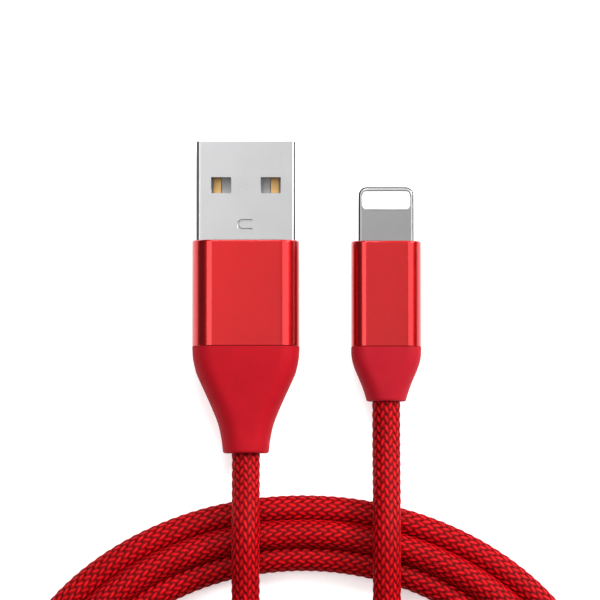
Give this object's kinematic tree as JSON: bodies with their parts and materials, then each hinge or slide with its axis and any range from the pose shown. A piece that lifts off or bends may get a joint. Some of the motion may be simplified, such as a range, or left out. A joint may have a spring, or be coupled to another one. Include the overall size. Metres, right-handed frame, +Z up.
{
  "type": "charging cable",
  "caption": "Red braided phone charging cable: a USB type A plug and a slim flat phone plug in metal housings with tapered strain reliefs, its spare cord in an oval coil.",
  "frame": {"origin": "on the surface the cable lies on, under the middle of the box round both plugs", "axes": "+Y the way both plugs point, +Z up, +X from the USB plug to the phone plug"},
  "size_m": [0.073, 0.1051, 0.0083],
  "materials": {
    "nickel_steel": "satin nickel plate on stamped steel",
    "crimp_steel": "plain steel",
    "contact_gold": "gold flash",
    "insulator_grey": "moulded, matte",
    "insert_white": "moulded, satin",
    "mould_white": "moulded, matte",
    "housing_red": "fine blasted and anodised red",
    "boot_red": "soft moulded elastomer, matte",
    "braid_red": "tightly braided nylon yarn",
    "board_green": "solder mask",
    "chip_black": "moulded epoxy",
    "capacitor_tan": "ceramic",
    "wire_red": "extruded insulation",
    "wire_white": "extruded insulation",
    "wire_green": "extruded insulation",
    "wire_black": "extruded insulation"
  },
  "bodies": {
    "cord": {"cord_coil": "braid_red", "cord_usb_lead": "braid_red", "cord_phone_lead": "braid_red"},
    "usb_plug": {"usb_shell": "nickel_steel", "usb_insulator": "insulator_grey", "usb_contact_1": "contact_gold", "usb_contact_2": "contact_gold", "usb_contact_3": "contact_gold", "usb_contact_4": "contact_gold", "usb_inner_mould": "mould_white", "usb_housing": "housing_red", "usb_boot": "boot_red", "usb_cord_end": "braid_red", "usb_crimp": "crimp_steel", "usb_wire_power": "wire_red", "usb_wire_data_minus": "wire_white", "usb_wire_data_plus": "wire_green", "usb_wire_ground": "wire_black"},
    "phone_plug": {"phone_tab_frame": "nickel_steel", "phone_contact_insert": "insert_white", "phone_contact_1": "contact_gold", "phone_contact_2": "contact_gold", "phone_contact_3": "contact_gold", "phone_contact_4": "contact_gold", "phone_contact_5": "contact_gold", "phone_contact_6": "contact_gold", "phone_contact_7": "contact_gold", "phone_contact_8": "contact_gold", "phone_board": "board_green", "phone_chip": "chip_black", "phone_capacitor_1": "capacitor_tan", "phone_capacitor_2": "capacitor_tan", "phone_shield_can": "crimp_steel", "phone_inner_mould": "mould_white", "phone_housing": "housing_red", "phone_boot": "boot_red", "phone_cord_end": "braid_red", "phone_crimp": "crimp_steel", "phone_wire_power": "wire_red", "phone_wire_data_minus": "wire_white", "phone_wire_data_plus": "wire_green", "phone_wire_ground": "wire_black"}
  },
  "joints": [
    {"name": "usb_boot_flex", "type": "hinge", "parent": "cord", "child": "usb_plug", "pos_m": [-0.00737, -0.0129, 0.0035], "axis": [1, 0, 0], "range_deg": [0, 35], "stiffness_Nm_per_rad": 0.015, "deforming": ["usb_boot", "usb_cord_end"]},
    {"name": "phone_boot_flex", "type": "hinge", "parent": "cord", "child": "phone_plug", "pos_m": [0.00962, -0.0096, 0.0026], "axis": [1, 0, 0], "range_deg": [0, 35], "stiffness_Nm_per_rad": 0.008, "deforming": ["phone_boot", "phone_cord_end"]}
  ]
}
